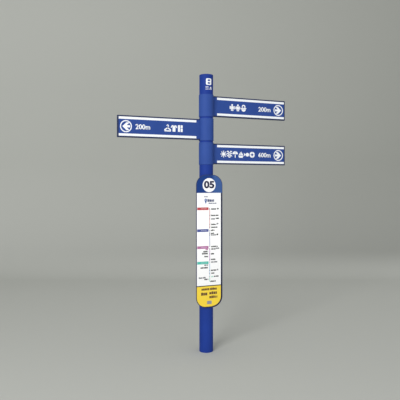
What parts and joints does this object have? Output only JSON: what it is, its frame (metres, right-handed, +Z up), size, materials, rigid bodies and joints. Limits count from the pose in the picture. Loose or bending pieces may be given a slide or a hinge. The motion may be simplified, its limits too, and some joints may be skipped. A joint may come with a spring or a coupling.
{
  "type": "direction sign",
  "caption": "Round post sign: flat direction blades on slip-on collars point left and right above a tall round-cornered information panel strapped to the front of the post.",
  "frame": {"origin": "on the axis of the post at the ground, in the mouth of the foot socket", "axes": "+Z up along the post, +X towards the right-hand blades, -Y out of the face of the panel"},
  "size_m": [1.83, 0.1592, 2.8],
  "materials": {
    "post_paint": "semi-gloss powder coat",
    "collar_paint": "satin powder coat, lighter blue",
    "blade_paint": "satin powder coat on extruded aluminium",
    "panel_paint": "gloss lacquer on aluminium plate",
    "stripe_film": "white reflective sign film",
    "field_print": "white film with coloured print",
    "footer_print": "yellow film",
    "mill_aluminium": "bare extruded aluminium",
    "sleeve_steel": "machined and primed steel",
    "zinc_screws": "bright zinc plate",
    "strap_rubber": "black strip"
  },
  "bodies": {
    "root": {"post_tube": "post_paint", "post_cap": "post_paint", "strap_upper": "post_paint", "strap_middle": "post_paint", "strap_lower": "post_paint", "collar_top": "collar_paint", "collar_middle": "collar_paint", "collar_bottom": "collar_paint", "blade_top": "blade_paint", "blade_middle": "blade_paint", "blade_bottom": "blade_paint", "end_cap_top": "blade_paint", "end_cap_middle": "blade_paint", "end_cap_bottom": "blade_paint", "panel_plate": "panel_paint", "stripes_top": "stripe_film", "stripes_middle": "stripe_film", "stripes_bottom": "stripe_film", "disc_film": "stripe_film", "field_film": "field_print", "footer_film": "footer_print", "arm_top": "mill_aluminium", "arm_middle": "mill_aluminium", "arm_bottom": "mill_aluminium", "rail_upper": "mill_aluminium", "rail_middle": "mill_aluminium", "rail_lower": "mill_aluminium", "foot_sleeve": "sleeve_steel", "foot_ring": "sleeve_steel", "cap_screws": "zinc_screws", "collar_screws": "zinc_screws", "blade_screws": "zinc_screws", "end_cap_screws": "zinc_screws", "strap_bolts": "zinc_screws", "strap_washers": "zinc_screws", "strap_nuts": "zinc_screws", "liner_upper": "strap_rubber", "liner_middle": "strap_rubber", "liner_lower": "strap_rubber"}
  },
  "joints": []
}
